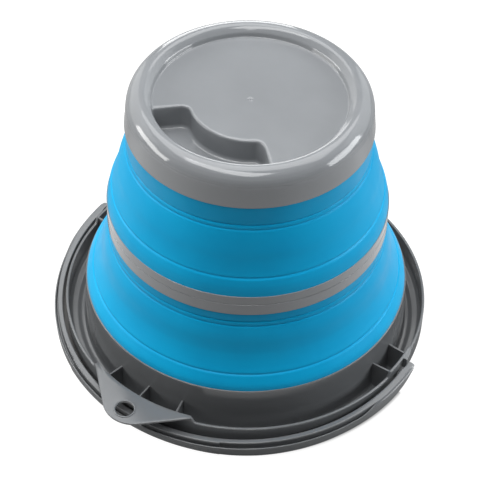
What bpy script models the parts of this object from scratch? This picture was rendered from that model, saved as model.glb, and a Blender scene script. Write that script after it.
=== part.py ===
"""Collapsible camp bucket, standing upside down on its mouth, as it is photographed.

The floor is z = 0, +Z points from the mouth to the base, +X runs along the handle's pivot axis
and the hanging tab points to -Y. Every ring is a profile turned round the bucket's own axis,
which lies a little towards +Y so that the origin is under the middle of the whole object.
Two soft rings join three rigid ones, and each soft ring folds between its two hinge lines.
"""
import math

import bmesh
import bpy
from mathutils import Matrix

MM = 0.001

# How round things are divided, and the small distances that all pieces share
around = 48
fillet_steps = 3
sector_around = 20
pin_sides = 24
gap = 0.3 * MM
bite = 1.0 * MM
overrun = 2.0 * MM
weld_distance = 0.01 * MM
smooth_angle = math.radians(35.0)

# Walls: a rigid ring is thicker than a soft one by the ledge that the soft ring sits back from
soft_wall = 2.0 * MM
ledge = 0.4 * MM
rigid_wall = soft_wall + ledge
lap_wall = 0.8 * MM
tongue_tip_gap = 0.6 * MM

# Rim: cone, trough and skirt in one moulding
skirt_radius = 155.2 * MM
skirt_height = 24.4 * MM
cone_above_skirt = 25.0 * MM
cone_lean = 2.2 * MM
cone_fillet = 2.0 * MM
trough_width = 13.8 * MM
trough_low_width = 4.0 * MM
trough_step_width = 3.0 * MM
trough_step_rise = 2.9 * MM
trough_fillet = 3.0 * MM
pad_height = 5.0 * MM

# Lower soft ring, from the cone to the middle ring
lower_soft_height = 69.0 * MM
lower_collar = 11.6 * MM
lower_fold_setback = 7.0 * MM
lower_fold_height = 13.0 * MM
lower_lap = 5.0 * MM
lower_wall_shares = [(0.03, 0.05), (0.21, 0.21), (0.35, 0.4), (0.47, 0.61), (0.68, 0.8)]
lower_foot_shares = [(0.705, 0.54), (0.92, 0.77)]

# Middle ring
mid_ring_setback = 21.4 * MM
mid_ring_height = 19.8 * MM

# Upper soft ring, from the middle ring to the base
upper_soft_height = 79.7 * MM
upper_collar = 21.1 * MM
upper_fold_setback = 5.0 * MM
upper_fold_height = 15.9 * MM
upper_lap = 5.0 * MM
upper_wall_shares = [(0.055, 0.045), (0.31, 0.24), (0.46, 0.42), (0.61, 0.64), (0.8, 0.82)]
upper_foot_shares = [(0.4, 0.17), (0.7, 0.44), (0.93, 0.75)]

# Base: band, foot ring, panel and finger pocket
base_height = 29.2 * MM
base_setback = 17.0 * MM
base_draft = 2.0 * MM
base_shoulder_width = 11.0 * MM
base_shoulder_drop = 14.8 * MM
foot_flat_width = 2.8 * MM
foot_slope_width = 5.4 * MM
panel_depth = 8.0 * MM
pocket_width = 28.4 * MM
pocket_outer_gap = 0.8 * MM
pocket_half_span = math.radians(46.0)
pocket_corner = 7.0 * MM
pocket_depth = 21.0 * MM

# Hanging tab on the rim
tab_angle = math.radians(-90.0)
tab_rise = 6.0 * MM
tab_thickness = 3.0 * MM
tab_reach = 28.3 * MM
tab_tip_radius = 26.0 * MM
tab_hole_radius = 7.5 * MM
tab_hole_inset = 12.2 * MM
tab_pad_margin = math.radians(0.4)

# Raised walls, stop lugs and ribs by the handle's pivots
pivot_drop = 9.0 * MM
pivot_pad_start = math.radians(-5.0)
pivot_pad_end = math.radians(7.3)
lug_start = math.radians(1.6)
lug_end = math.radians(7.1)
lug_depth = 3.6 * MM
lug_drop = 0.6 * MM
lug_clearance = 0.4 * MM
rib_thickness = 1.6 * MM
rib_drop = 0.4 * MM
pivot_rib_spread = math.radians(4.8)
tab_rib_spread = math.radians(13.0)

# Bail handle: channel section, grip, bosses and snap pins, with heights from the pivot axis
bail_clearance = 2.8 * MM
bail_inner_flange = 4.0 * MM
bail_groove = 2.2 * MM
bail_outer_flange = 1.4 * MM
bail_top = 9.0 * MM
bail_outer_top = 5.3 * MM
bail_groove_floor = 1.0 * MM
bail_bottom = 2.7 * MM
bail_steps = 48
grip_half_span = math.radians(27.5)
grip_proud = 1.2 * MM
grip_drop = 1.0 * MM
grip_top = 3.0 * MM
grip_width = 6.8 * MM
grip_steps = 16
boss_radius = 9.2 * MM
boss_setback = 1.4 * MM
boss_proud = 0.4 * MM
arm_end = 2.0 * MM
pin_radius = 4.0 * MM
pin_head_radius = 5.2 * MM
pin_head_length = 1.9 * MM
pin_head_play = 0.6 * MM

# Colours as linear red, green, blue
grey_plastic = (0.22, 0.225, 0.235, 1.0)
blue_rubber = (0.012, 0.29, 0.6, 1.0)
plastic_roughness = 0.35
rubber_roughness = 0.5

# Radii that follow from the skirt's, so that each ring passes inside the one below it
skirt_inner_radius = skirt_radius - rigid_wall
cone_foot_radius = skirt_inner_radius - trough_width
cone_top_radius = cone_foot_radius - cone_lean
trough_step_radius = cone_foot_radius + trough_low_width
lower_fold_radius = cone_top_radius - lower_fold_setback
mid_ring_radius = cone_top_radius - mid_ring_setback
upper_fold_radius = mid_ring_radius - upper_fold_setback
base_radius = mid_ring_radius - base_setback
base_shoulder_radius = base_radius - base_draft
foot_flat_outer_radius = base_shoulder_radius - base_shoulder_width
foot_flat_inner_radius = foot_flat_outer_radius - foot_flat_width
panel_radius = foot_flat_inner_radius - foot_slope_width
pocket_outer_radius = panel_radius - pocket_outer_gap
pocket_inner_radius = pocket_outer_radius - pocket_width
bail_inner_radius = skirt_radius + bail_clearance

# Places that follow from the sizes
pad_top = skirt_height + pad_height
rim_top = skirt_height + cone_above_skirt
mid_bottom = rim_top + lower_soft_height
mid_top = mid_bottom + mid_ring_height
base_bottom = mid_top + upper_soft_height
base_top = base_bottom + base_height
panel_level = base_top - panel_depth
pivot_height = skirt_height - pivot_drop
bail_outer_radius = bail_inner_radius + bail_inner_flange + bail_groove + bail_outer_flange
grip_outer_radius = bail_outer_radius + grip_proud
bucket_y = tab_reach / 2

# The handle hangs down on the tab's side until its grip is just clear of the floor
bail_sag = math.asin((pivot_height - bail_bottom - grip_drop - gap) / grip_outer_radius)


def polar(radius, angle):
    """The point at a radius and an angle."""
    return (radius * math.cos(angle), radius * math.sin(angle))


def along(start, end, distance):
    """The point at a distance from start, towards end."""
    share = distance / math.dist(start, end)
    return (start[0] + share * (end[0] - start[0]), start[1] + share * (end[1] - start[1]))


def arc(centre, width, height, start, end, steps):
    """Points along a stretch of an ellipse, given by its half width and half height."""
    angles = [start + (end - start) * i / steps for i in range(steps + 1)]
    return [(centre[0] + width * math.cos(a), centre[1] + height * math.sin(a)) for a in angles]


def offset(path, depth):
    """A path that runs down the outside of a ring, moved square to itself into the wall.

    Each point moves along the mitre of its two stretches, so the wall keeps its thickness there.
    """
    normals = []
    for (ax, az), (bx, bz) in zip(path[:-1], path[1:]):
        length = math.hypot(bx - ax, bz - az)
        normals.append(((bz - az) / length, (ax - bx) / length))
    moved = []
    for i, (x, z) in enumerate(path):
        before = normals[max(i - 1, 0)]
        after = normals[min(i, len(normals) - 1)]
        mitre = depth / (1 + before[0] * after[0] + before[1] * after[1])
        moved.append((x + mitre * (before[0] + after[0]), z + mitre * (before[1] + after[1])))
    return moved


def material(name, colour, roughness):
    """A plain plastic or rubber with its own colour and roughness."""
    made = bpy.data.materials.new(name)
    made.use_nodes = True
    shader = made.node_tree.nodes["Principled BSDF"]
    shader.inputs["Base Color"].default_value = colour
    shader.inputs["Roughness"].default_value = roughness
    shader.inputs["Metallic"].default_value = 0.0
    return made


def add_object(name, mesh, collection):
    """Link new mesh or curve data to a collection, standing on the bucket's axis."""
    made = bpy.data.objects.new(name, mesh)
    collection.objects.link(made)
    made.parent = axis
    return made


def add_tool(name, mesh, place):
    """A hidden mesh that only shapes another piece."""
    made = add_object(name, mesh, tools)
    made.matrix_local = place
    made.hide_render = True
    made.display_type = "WIRE"
    return made


def turned(name, loop, closed=True):
    """Turn an outline of (radius, height) points round the bucket's axis, outer side from top to bottom."""
    mesh = bpy.data.meshes.new(name)
    edges = [(i, i + 1) for i in range(len(loop) - 1)]
    if closed:
        edges.append((len(loop) - 1, 0))
    mesh.from_pydata([(x, 0, z) for x, z in loop], edges, [])
    made = add_object(name, mesh, parts)
    screw = made.modifiers.new("turn", "SCREW")
    screw.axis = "Z"
    screw.steps = around
    screw.render_steps = around
    screw.use_merge_vertices = True
    screw.merge_threshold = weld_distance
    return made


def plate(name, outline, low, high, turn=Matrix.Identity(4)):
    """A tool cut from a flat outline, thick from low to high; turn stands it up where it is needed."""
    curve = bpy.data.curves.new(name, "CURVE")
    curve.dimensions = "2D"
    curve.fill_mode = "BOTH"
    curve.extrude = (high - low) / 2
    spline = curve.splines.new("POLY")
    spline.points.add(len(outline) - 1)
    for point, (x, y) in zip(spline.points, outline):
        point.co = (x, y, 0, 1)
    spline.use_cyclic_u = True
    guide = add_object(name + "_outline", curve, tools)
    bpy.context.view_layer.update()
    mesh = bpy.data.meshes.new_from_object(guide.evaluated_get(bpy.context.evaluated_depsgraph_get()))
    bpy.data.objects.remove(guide)
    shape = bmesh.new()
    shape.from_mesh(mesh)
    bmesh.ops.remove_doubles(shape, verts=shape.verts, dist=weld_distance)
    bmesh.ops.recalc_face_normals(shape, faces=shape.faces)
    shape.to_mesh(mesh)
    shape.free()
    return add_tool(name, mesh, turn @ Matrix.Translation((0, 0, (low + high) / 2)))


def sector(name, inner, outer, start, end, low, high):
    """A tool shaped as a stretch of a flat ring between two radii and two angles."""
    steps = max(2, round(sector_around * (end - start) / math.tau))
    outline = arc((0, 0), outer, outer, start, end, steps) + arc((0, 0), inner, inner, end, start, steps)
    return plate(name, outline, low, high)


def rod(name, radius, start, end, place):
    """A round tool lying along X, from start to end."""
    shape = bmesh.new()
    bmesh.ops.create_cone(shape, cap_ends=True, segments=pin_sides, radius1=radius, radius2=radius,
                          depth=abs(end - start))
    bmesh.ops.rotate(shape, verts=shape.verts, cent=(0, 0, 0), matrix=Matrix.Rotation(math.pi / 2, 3, "Y"))
    mesh = bpy.data.meshes.new(name)
    shape.to_mesh(mesh)
    shape.free()
    return add_tool(name, mesh, place @ Matrix.Translation(((start + end) / 2, 0, 0)))


def swept(section, start, end, steps):
    """A mesh swept round the bucket's axis from a flat section of (radius, height) points."""
    shape = bmesh.new()
    face = shape.faces.new([shape.verts.new((*polar(x, start), z)) for x, z in section])
    bmesh.ops.spin(shape, geom=[face, *face.edges, *face.verts], cent=(0, 0, 0), axis=(0, 0, 1),
                   angle=end - start, steps=steps)
    bmesh.ops.recalc_face_normals(shape, faces=shape.faces)
    mesh = bpy.data.meshes.new("swept")
    shape.to_mesh(mesh)
    shape.free()
    return mesh


def shape_with(made, operation, shapers):
    """Join tools to a piece, or cut them from it, one Boolean each."""
    for shaper in shapers:
        boolean = made.modifiers.new(shaper.name, "BOOLEAN")
        boolean.operation = operation
        boolean.solver = "EXACT"
        boolean.object = shaper


def finish(made, skin):
    """Settle the modifiers into the mesh, give it its material, and smooth all but its sharp edges."""
    bpy.context.view_layer.update()
    mesh = bpy.data.meshes.new_from_object(made.evaluated_get(bpy.context.evaluated_depsgraph_get()))
    made.modifiers.clear()
    made.data = mesh
    mesh.materials.clear()
    mesh.materials.append(skin)
    mesh.shade_smooth()
    mesh.set_sharp_from_angle(angle=smooth_angle)


def soft_path(top, bottom, collar, lap, fold_radius, fold_height, wall_shares, foot_shares):
    """The outer side of a soft ring from its top end to its bottom end.

    It is a straight collar, a folding wall out to the lower hinge line, and a foot that turns
    down again. The shares say how far out and how far down each point of a stretch lies.
    """
    hinge = (top[0], top[1] - collar)
    fold = (fold_radius, bottom[1] + fold_height)
    path = [top, (top[0], top[1] - lap), hinge]
    for (ax, az), (bx, bz), shares in [(hinge, fold, wall_shares), (fold, bottom, foot_shares)]:
        path += [(ax + out * (bx - ax), az + down * (bz - az)) for out, down in shares]
        path.append((bx, bz))
    return path


def soft_ring(name, path):
    """A soft ring whose thin end laps lie outside the rigid rings' tongues."""
    outer = [along(path[0], path[1], gap), *path[1:-1], along(path[-1], path[-2], gap)]
    inner = offset(outer, soft_wall)
    lap = offset(outer, lap_wall)
    return turned(name, outer + [lap[-1], lap[-2]] + inner[-2:0:-1] + [lap[1], lap[0]])


def tongue(end, beyond):
    """A rigid ring's tongue along a soft ring's end stretch: its root, its outer tip and its inner tip."""
    tip = along(beyond, end, tongue_tip_gap)
    stretch = [end, tip] if end[1] > tip[1] else [tip, end]
    outer = offset(stretch, lap_wall + gap)
    inner = offset(stretch, soft_wall)
    if end[1] > tip[1]:
        return outer[0], outer[1], inner[1]
    return outer[1], outer[0], inner[0]


def trough_path():
    """The side of the rim that faces the base: down the cone, along the trough and up the skirt."""
    low = rigid_wall
    high = low + trough_step_rise
    cone_corner = (cone_foot_radius + cone_fillet, low + cone_fillet)
    skirt_corner = (skirt_inner_radius - trough_fillet, high + trough_fillet)
    path = [(cone_top_radius, rim_top)]
    path += arc(cone_corner, cone_fillet, cone_fillet, math.pi, math.pi * 1.5, fillet_steps)
    path += [(trough_step_radius, low), (trough_step_radius + trough_step_width, high)]
    path += arc(skirt_corner, trough_fillet, trough_fillet, math.pi * 1.5, math.tau, fillet_steps)
    path.append((skirt_inner_radius, pad_top))
    return path


def tab_corner_angle():
    """Half the angle that the tab takes up on the skirt, where its straight edges meet it at 45 degrees."""
    edge_sum = skirt_radius + tab_reach - tab_tip_radius + tab_tip_radius * math.sqrt(2)
    half_width = (edge_sum - math.sqrt(2 * skirt_radius ** 2 - edge_sum ** 2)) / 2
    return math.asin(half_width / skirt_radius)


def tab_plate():
    """The flat tab: a round tip, straight edges square to each other, and a root on the skirt."""
    corner = tab_corner_angle()
    tip_centre = (0, tab_tip_radius - tab_reach - skirt_radius)
    root_radius = skirt_inner_radius * math.cos(math.pi / around) - gap
    outline = arc(tip_centre, tab_tip_radius, tab_tip_radius, math.pi * -0.75, math.pi * -0.25, 8)
    outline.append(polar(skirt_radius, tab_angle + corner))
    outline += arc((0, 0), root_radius, root_radius, tab_angle + corner, tab_angle - corner, 8)
    outline.append(polar(skirt_radius, tab_angle - corner))
    top = skirt_height + tab_rise
    return plate("tab_plate", outline, top - tab_thickness, top)


def tab_hole():
    """The round hole through the tab."""
    centre = (0, tab_hole_inset - tab_reach - skirt_radius)
    outline = arc(centre, tab_hole_radius, tab_hole_radius, 0, math.tau, pin_sides)[:-1]
    top = skirt_height + tab_rise
    return plate("tab_hole", outline, top - tab_thickness - overrun, top + overrun)


def rib(name, path, angle):
    """A thin upright rib across the trough, its edges sunk into the cone, the floor and the skirt."""
    top = pad_top - rib_drop
    sunk = offset(path, bite)
    cone_share = (top - path[1][1]) / (path[0][1] - path[1][1])
    cone_radius = path[1][0] + cone_share * (path[0][0] - path[1][0])
    outline = [(cone_radius - bite, top), *sunk[1:-1], (skirt_inner_radius + bite, top)]
    turn = Matrix.Rotation(angle, 4, "Z") @ Matrix.Rotation(math.pi / 2, 4, "X")
    return plate(name, outline, -rib_thickness / 2, rib_thickness / 2, turn)


def skirt_cuts():
    """Three stretches where the skirt is cut down, which leaves the raised walls between them."""
    tab_half = tab_corner_angle() + tab_pad_margin
    stretches = [("cut_right", tab_angle + tab_half, pivot_pad_start),
                 ("cut_back", pivot_pad_end, math.pi - pivot_pad_end),
                 ("cut_left", math.pi - pivot_pad_start, math.tau + tab_angle - tab_half)]
    inner = skirt_inner_radius - overrun
    outer = (skirt_radius + overrun) / math.cos(math.pi / sector_around)
    return [sector(name, inner, outer, start, end, skirt_height, pad_top + overrun)
            for name, start, end in stretches]


def stop_lugs():
    """Two lugs outside the skirt that the handle's arms meet when it is turned right over."""
    low = pivot_height + bail_bottom + lug_clearance
    sides = [("lug_right", lug_start, lug_end), ("lug_left", math.pi - lug_end, math.pi - lug_start)]
    return [sector(name, skirt_radius - bite, skirt_radius + lug_depth, start, end, low, pad_top - lug_drop)
            for name, start, end in sides]


def pivot_holes():
    """The two holes in the skirt that the handle's pins turn in."""
    start = skirt_inner_radius - overrun
    end = skirt_radius + overrun
    sides = [("hole_right", 0), ("hole_left", math.pi)]
    return [rod(name, pin_radius + gap, start, end,
                Matrix.Translation((0, 0, pivot_height)) @ Matrix.Rotation(angle, 4, "Z"))
            for name, angle in sides]


def rim_collar(lower_path):
    """The rim: turned cone, trough and skirt, with the tab, ribs, raised walls, lugs and pivot holes."""
    path = trough_path()
    root, outer_tip, inner_tip = tongue(lower_path[-1], lower_path[-2])
    made = turned("rim_collar", [inner_tip, outer_tip, root] + path + offset(path, rigid_wall)[::-1])
    rib_angles = [tab_angle - tab_rib_spread, tab_angle, tab_angle + tab_rib_spread,
                  -pivot_rib_spread, pivot_rib_spread, math.pi - pivot_rib_spread, math.pi + pivot_rib_spread]
    ribs = [rib("rib_" + str(i), path, angle) for i, angle in enumerate(rib_angles)]
    shape_with(made, "DIFFERENCE", skirt_cuts())
    shape_with(made, "UNION", [tab_plate(), *ribs, *stop_lugs()])
    shape_with(made, "DIFFERENCE", [tab_hole(), *pivot_holes()])
    return made


def mid_ring(lower_path, upper_path):
    """The middle hoop, with one tongue up into the upper soft ring and one down into the lower."""
    top_root, top_outer, top_inner = tongue(upper_path[-1], upper_path[-2])
    low_root, low_outer, low_inner = tongue(lower_path[0], lower_path[1])
    hoop = [(mid_ring_radius, mid_top), (mid_ring_radius, mid_bottom)]
    return turned("mid_ring", [top_inner, top_outer, top_root, *hoop, low_root, low_outer, low_inner])


def pocket_outline(grown):
    """The finger pocket from above: a stretch of a ring with rounded inner corners, grown all round."""
    outer = pocket_outer_radius + grown
    outer_half = pocket_half_span + math.asin(grown / outer)
    corner_place = pocket_inner_radius + pocket_corner
    corner_half = pocket_half_span - math.asin(pocket_corner / corner_place)
    corner = pocket_corner + grown
    inner = pocket_inner_radius - grown
    right = tab_angle + pocket_half_span + math.pi / 2
    left = tab_angle - pocket_half_span - math.pi / 2
    outline = arc((0, 0), outer, outer, tab_angle - outer_half, tab_angle + outer_half, 16)
    outline += arc(polar(corner_place, tab_angle + corner_half), corner, corner,
                   right, tab_angle + corner_half + math.pi, 4)
    outline += arc((0, 0), inner, inner, tab_angle + corner_half, tab_angle - corner_half, 8)[1:-1]
    outline += arc(polar(corner_place, tab_angle - corner_half), corner, corner,
                   tab_angle - corner_half - math.pi, left, 4)
    return outline


def base_cup(upper_path):
    """The base: recessed panel, rounded foot ring and band, with the finger pocket sunk in the panel."""
    ring_inner = foot_flat_inner_radius - panel_radius
    ring_outer = base_shoulder_radius - foot_flat_outer_radius
    path = [(0, panel_level)]
    path += arc((foot_flat_inner_radius, panel_level), ring_inner, panel_depth, math.pi, math.pi / 2, 4)
    path += arc((foot_flat_outer_radius, base_top - base_shoulder_drop), ring_outer, base_shoulder_drop,
                math.pi / 2, 0, 6)
    path.append((base_radius, base_bottom))
    root, outer_tip, inner_tip = tongue(upper_path[0], upper_path[1])
    inside = offset(path, rigid_wall)[-2::-1]
    made = turned("base_cup", path + [root, outer_tip, inner_tip] + inside, closed=False)
    floor = panel_level - pocket_depth
    box = plate("pocket_box", pocket_outline(rigid_wall), floor - rigid_wall, panel_level - bite)
    hollow = plate("pocket_hollow", pocket_outline(0), floor, panel_level + overrun)
    shape_with(made, "UNION", [box])
    shape_with(made, "DIFFERENCE", [hollow])
    return made


def bail_handle():
    """The carrying handle: a half ring of channel section with a grip, two bosses and two snap pins."""
    groove_inner = bail_inner_radius + bail_inner_flange
    groove_outer = groove_inner + bail_groove
    channel = [(bail_inner_radius, -bail_bottom), (bail_inner_radius, bail_top), (groove_inner, bail_top),
               (groove_inner, bail_groove_floor), (groove_outer, bail_groove_floor),
               (groove_outer, bail_outer_top), (bail_outer_radius, bail_outer_top),
               (bail_outer_radius, -bail_bottom)]
    under = -bail_bottom - grip_drop
    grip_inner = grip_outer_radius - grip_width
    seam = groove_outer + bail_outer_flange / 2
    grip = [(grip_inner, under), (grip_inner, bite - bail_bottom), (seam, bite - bail_bottom),
            (seam, grip_top), (grip_outer_radius, grip_top), (grip_outer_radius, under)]
    past = math.asin(arm_end / groove_inner)
    made = add_object("bail_handle", swept(channel, -math.pi - past, past, bail_steps), parts)
    bail_place = Matrix.Translation((0, 0, pivot_height)) @ Matrix.Rotation(bail_sag, 4, "X")
    made.matrix_local = bail_place
    bar = swept(grip, tab_angle - grip_half_span, tab_angle + grip_half_span, grip_steps)
    joined = [add_tool("grip_bar", bar, bail_place)]
    head_start = skirt_inner_radius - pin_head_play - pin_head_length
    boss_start = bail_inner_radius + boss_setback
    for side, angle in [("right", 0), ("left", math.pi)]:
        place = bail_place @ Matrix.Rotation(angle, 4, "Z")
        joined.append(rod("boss_" + side, boss_radius, boss_start, bail_outer_radius + boss_proud, place))
        joined.append(rod("pin_" + side, pin_radius, head_start + bite, boss_start + bite, place))
        joined.append(rod("head_" + side, pin_head_radius, head_start, head_start + pin_head_length, place))
    shape_with(made, "UNION", joined)
    return made


for old in list(bpy.data.objects):
    bpy.data.objects.remove(old)

parts = bpy.data.collections.new("collapsible_camp_bucket")
tools = bpy.data.collections.new("shaping_tools")
bpy.context.scene.collection.children.link(parts)
bpy.context.scene.collection.children.link(tools)

axis = bpy.data.objects.new("bucket_axis", None)
parts.objects.link(axis)
axis.location = (0, bucket_y, 0)

lower_side = soft_path((mid_ring_radius - ledge, mid_bottom), (cone_top_radius - ledge, rim_top),
                       lower_collar, lower_lap, lower_fold_radius, lower_fold_height,
                       lower_wall_shares, lower_foot_shares)
upper_side = soft_path((base_radius - ledge, base_bottom), (mid_ring_radius - ledge, mid_top),
                       upper_collar, upper_lap, upper_fold_radius, upper_fold_height,
                       upper_wall_shares, upper_foot_shares)

finish(rim_collar(lower_side), material("rim_plastic", grey_plastic, plastic_roughness))
finish(soft_ring("lower_bellows", lower_side), material("lower_rubber", blue_rubber, rubber_roughness))
finish(mid_ring(lower_side, upper_side), material("mid_ring_plastic", grey_plastic, plastic_roughness))
finish(soft_ring("upper_bellows", upper_side), material("upper_rubber", blue_rubber, rubber_roughness))
finish(base_cup(upper_side), material("base_plastic", grey_plastic, plastic_roughness))
finish(bail_handle(), material("handle_plastic", grey_plastic, plastic_roughness))
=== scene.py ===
# %% [markdown]
# # A collapsible camp bucket, standing upside down on its mouth
#
# The bucket is three rigid plastic rings joined by two soft blue ones, with a hanging tab on the rim
# and a carrying handle that swings from two snap pins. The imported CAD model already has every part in
# its place and every joint. This lesson dresses it: each ring gets the fillets, grooves, ribs and
# finish that the moulded parts have.
#
# The CAD model comes first, because all the new surfaces must sit where its pieces sit.

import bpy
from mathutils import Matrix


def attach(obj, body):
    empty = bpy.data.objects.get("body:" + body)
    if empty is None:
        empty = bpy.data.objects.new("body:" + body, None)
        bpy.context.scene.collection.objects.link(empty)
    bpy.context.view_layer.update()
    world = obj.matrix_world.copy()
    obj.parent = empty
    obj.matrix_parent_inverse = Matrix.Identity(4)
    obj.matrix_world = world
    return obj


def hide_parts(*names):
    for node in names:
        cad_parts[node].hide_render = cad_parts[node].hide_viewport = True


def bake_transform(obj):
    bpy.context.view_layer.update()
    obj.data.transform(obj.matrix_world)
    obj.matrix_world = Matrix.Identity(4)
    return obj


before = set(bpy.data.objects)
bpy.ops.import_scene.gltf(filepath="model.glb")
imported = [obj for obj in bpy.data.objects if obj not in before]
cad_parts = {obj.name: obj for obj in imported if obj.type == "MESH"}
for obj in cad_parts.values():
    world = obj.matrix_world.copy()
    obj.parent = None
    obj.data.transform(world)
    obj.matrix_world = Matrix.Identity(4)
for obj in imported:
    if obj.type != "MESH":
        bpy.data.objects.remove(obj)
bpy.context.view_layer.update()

# %% [markdown]
# ## Turned profiles
#
# Every ring of the bucket was moulded in a round tool, so its shape is one outline turned round the
# bucket's axis. In Blender that could be a Spin or a Screw modifier. Here the turned points are worked
# out with numpy instead: the outline is an array of (radius, height) pairs, the azimuths are another
# array, and one formula gives all the points at once. That leaves us free to let the outline change
# with the azimuth, as it does where the skirt is raised.
#
# Moulded corners are never sharp. `softened` walks an outline at an even spacing and lets each point
# take a bell-weighted average of its neighbours, which rounds every corner by about the reach given.

# %% Outlines in millimetres
import bmesh
import bpy
import numpy as np
from mathutils import Matrix, Vector

MM = 0.001
AXIS_Y = 14.15

def walked(points, spacing):
    """Points at an even spacing along a polyline, read off against its length."""
    points = np.array(points, float)
    length = np.concatenate([[0], np.cumsum(np.linalg.norm(np.diff(points, axis=0), axis=1))])
    places = np.linspace(0, length[-1], int(round(length[-1] / spacing)) + 1)
    return np.column_stack([np.interp(places, length, column) for column in points.T])

def softened(points, spacing, reach):
    """The walked polyline with every point averaged with its neighbours, weights falling as a bell
    curve of the distance; the path is continued by point reflection at both ends, so they stay put."""
    path = walked(points, spacing)
    count = min(int(3 * reach / spacing) + 1, len(path) - 1)
    weights = np.exp(-0.5 * (np.arange(-count, count + 1) * spacing / reach) ** 2)
    longer = np.vstack([2 * path[0] - path[count:0:-1], path, 2 * path[-1] - path[-2:-count - 2:-1]])
    return np.column_stack([np.convolve(column, weights / weights.sum(), "valid") for column in longer.T])

def outward(path):
    """The unit vector square to an outline that runs down the outside of a ring: its tangent turned left."""
    tangent = np.gradient(path, axis=0)
    across = np.column_stack([-tangent[:, 1], tangent[:, 0]])
    return across / np.linalg.norm(across, axis=1, keepdims=True)

def marked(path, marks):
    """The outline moved in along its own normal by a bell curve at each mark (height, width, depth)."""
    heights, widths, depths = np.array(marks, float).T
    dip = (depths * np.exp(-((path[:, 1:2] - heights) / widths) ** 2)).sum(axis=1)
    return path - dip[:, None] * outward(path)

def turned(radius, height, azimuth):
    """The points of an outline at their azimuths, for whole arrays at once: x is the radius times the
    azimuth's cosine, y is the bucket's axis plus the radius times its sine, and z is the height."""
    radius, height, azimuth = np.broadcast_arrays(radius, height, azimuth)
    return np.stack([radius * np.cos(azimuth), AXIS_Y + radius * np.sin(azimuth), height], axis=-1)

def revolved(loop, azimuth):
    """A grid of points, one row for each point of the outline and one column for each azimuth."""
    return turned(loop[:, :1], loop[:, 1:], azimuth[None, :])

print("a softened corner keeps its ends:", softened([(0, 0), (10, 0), (10, 10)], 0.5, 1.0)[[0, -1]].tolist())

# %% [markdown]
# ## From grids to a mesh
#
# A piece is a few grids of points whose edges coincide. `add_grid` numbers the four corners of every
# cell, wraps round where a direction is closed, and leaves out the cells of any window that another
# grid will fill. `make_piece` puts the grids into one mesh, welds the points that coincide, which also
# closes the poles, and turns all faces outwards. It is worth welding before the normals are worked
# out, because Blender can only tell inside from outside on a closed shell.

# %% Grids, windows and pieces
SHARP_ANGLE = np.radians(38.0)
WELD = 0.004

def add_grid(grids, points, wrap_rows=False, wrap_columns=False, windows=()):
    """Keep a grid of points with its quads: the cell at (row, column) joins its four corners in turn."""
    rows, columns = points.shape[:2]
    row, column = np.meshgrid(np.arange(rows - (not wrap_rows)), np.arange(columns - (not wrap_columns)),
                              indexing="ij")
    kept = np.ones(row.shape, bool)
    for (top, bottom), (left, right) in windows:
        kept[top:bottom, left:right] = False
    below, beside = (row + 1) % rows, (column + 1) % columns
    quads = np.stack([row * columns + column, row * columns + beside,
                      below * columns + beside, below * columns + column], axis=-1)
    grids.append((points.reshape(-1, 3), quads[kept]))

def window_edge(points, rows, columns):
    """The closed loop of grid points round a window, starting at its first row and column."""
    (top, bottom), (left, right) = rows, columns
    return np.concatenate([points[top, left:right], points[top:bottom, right],
                           points[bottom, right:left:-1], points[bottom:top:-1, left]])

def make_piece(name, grids, material):
    """One mesh from all the grids, in metres, welded and with its faces outwards."""
    starts = np.cumsum([0] + [len(points) for points, _ in grids[:-1]])
    points = np.concatenate([points for points, _ in grids]) * MM
    quads = np.concatenate([cells + start for (_, cells), start in zip(grids, starts)])
    mesh = bpy.data.meshes.new(name)
    mesh.from_pydata(points, [], quads.tolist())
    shape = bmesh.new()
    shape.from_mesh(mesh)
    bmesh.ops.remove_doubles(shape, verts=shape.verts, dist=WELD * MM)
    bmesh.ops.recalc_face_normals(shape, faces=shape.faces)
    open_edges = sum(len(edge.link_faces) != 2 for edge in shape.edges)
    shape.to_mesh(mesh)
    shape.free()
    mesh.shade_smooth()
    mesh.set_sharp_from_angle(angle=SHARP_ANGLE)
    mesh.materials.append(material)
    piece = bpy.data.objects.new(name, mesh)
    bpy.context.scene.collection.objects.link(piece)
    triangles = sum(len(face.vertices) - 2 for face in mesh.polygons)
    print(name, triangles, "triangles,", open_edges, "open edges")
    return piece

full_turn = np.radians(np.arange(0, 360, 1.25))
print("azimuths round a plain ring:", len(full_turn))

# %% [markdown]
# ## The moulded grey plastic
#
# The rigid parts are glossy polypropylene. Up close it is not one flat grey: the melt leaves faint
# clouds of lighter and darker colour, handling dulls the gloss in patches, the walls swell and sink by
# a few hundredths of a millimetre, and the skin has a very fine orange-peel. Four noise textures give
# those four things. They read Object coordinates, so the pattern stays on the piece when it moves.
#
# The one recipe makes two finishes. The base and hoop are paler than the rim and the handle, which get a
# darker copy of the same grey: that darkness is painted shade for the rim's trough and skirt, which lie in
# shade.

# %% Plastic finish
CLOUD_SCALE, WEAR_SCALE, SWELL_SCALE = 22, 60, 35

def link(tree, source, target):
    """Join two sockets, given as (node, socket name or number)."""
    tree.links.new(source[0].outputs[source[1]], target[0].inputs[target[1]])

def noise(tree, coordinates, scale, detail):
    """A noise texture in Object coordinates, its scale counted per metre."""
    node = tree.nodes.new("ShaderNodeTexNoise")
    node.inputs["Scale"].default_value = scale
    node.inputs["Detail"].default_value = detail
    link(tree, (coordinates, "Object"), (node, "Vector"))
    return node

def mapped(tree, source, low, high, start=0.3, end=0.7):
    """A value spread from start..end, where most of a noise lies, to low..high."""
    node = tree.nodes.new("ShaderNodeMapRange")
    for socket, value in zip(("From Min", "From Max", "To Min", "To Max"), (start, end, low, high)):
        node.inputs[socket].default_value = value
    link(tree, source, (node, "Value"))
    return node

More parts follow.
